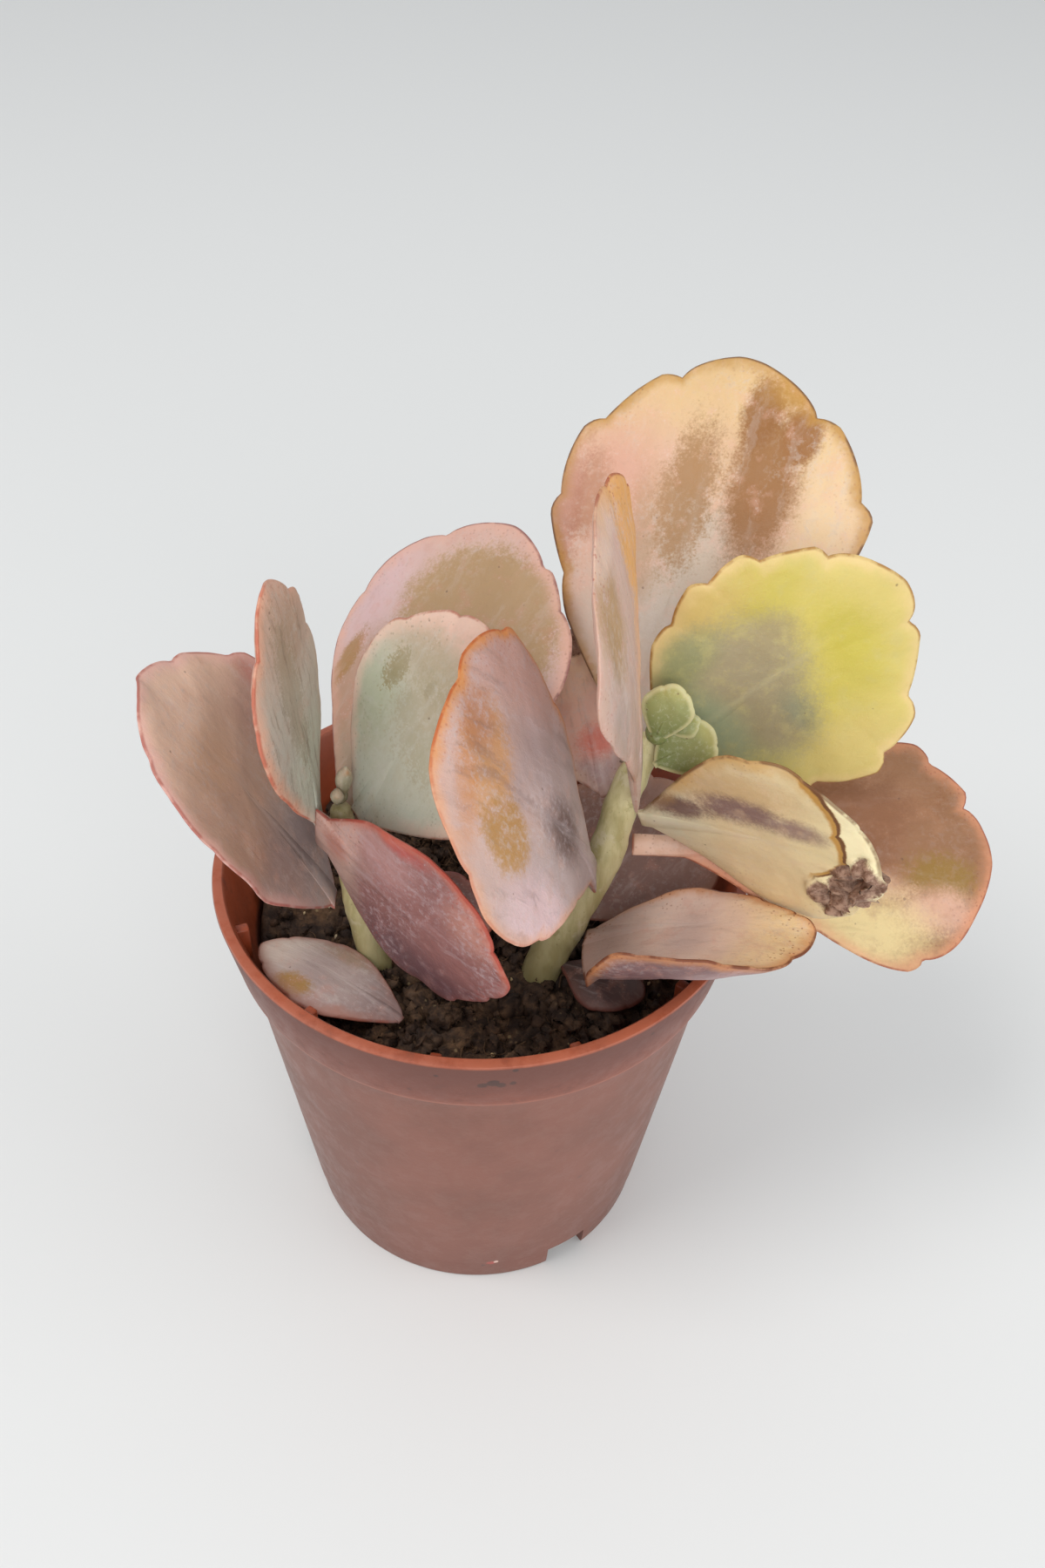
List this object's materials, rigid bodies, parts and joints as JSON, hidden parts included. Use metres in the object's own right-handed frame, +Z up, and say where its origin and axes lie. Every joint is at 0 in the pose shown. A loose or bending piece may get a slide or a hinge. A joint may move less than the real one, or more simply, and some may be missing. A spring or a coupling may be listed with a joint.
{
  "type": "potted kalanchoe",
  "caption": "Small succulent with rounded, scalloped, waxy leaves in pink, cream and grey on short stems, in soil in a tapered round plastic nursery pot.",
  "frame": {"origin": "centre of the pot's flat underside, on the surface that it stands on", "axes": "+Z up through the pot, +X towards the side where most leaves hang over the rim, -Y towards the plant's front"},
  "size_m": [0.0813, 0.0584, 0.0967],
  "materials": {
    "pot": "satin terracotta-brown moulded plastic",
    "soil": "dark crumbly peat",
    "stem": "smooth pale yellow-green stem",
    "leaf_peach": "waxy, peach with pink and tan",
    "leaf_yellow": "waxy, lime-yellow with a grey-green patch",
    "leaf_cream": "waxy, cream-yellow with a purple-grey streak",
    "leaf_tan": "waxy, cinnamon with an olive patch",
    "leaf_mauve": "waxy, mauve-grey with an orange margin",
    "leaf_green": "waxy, sage grey-green with a pink margin",
    "leaf_dark": "waxy, dark mauve-purple",
    "bud": "waxy, pale green with cream edges"
  },
  "bodies": {
    "root": {"pot": "pot", "soil": "soil", "stem_left": "stem", "stem_right": "stem", "leaf_right_back": "leaf_peach", "leaf_right_yellow": "leaf_yellow", "leaf_right_upright": "leaf_mauve", "leaf_centre_front": "leaf_mauve", "leaf_right_folded": "leaf_cream", "leaf_right_far": "leaf_tan", "leaf_right_rim": "leaf_mauve", "leaf_right_inner": "leaf_dark", "leaf_centre_back": "leaf_peach", "leaf_left_outer": "leaf_mauve", "leaf_left_upright": "leaf_green", "leaf_left_back": "leaf_mauve", "leaf_left_green": "leaf_green", "leaf_left_front": "leaf_dark", "leaf_left_low": "leaf_dark", "leaf_fallen_left": "leaf_mauve", "leaf_fallen_right": "leaf_dark", "bud_right": "bud", "bud_left": "bud"}
  },
  "joints": []
}
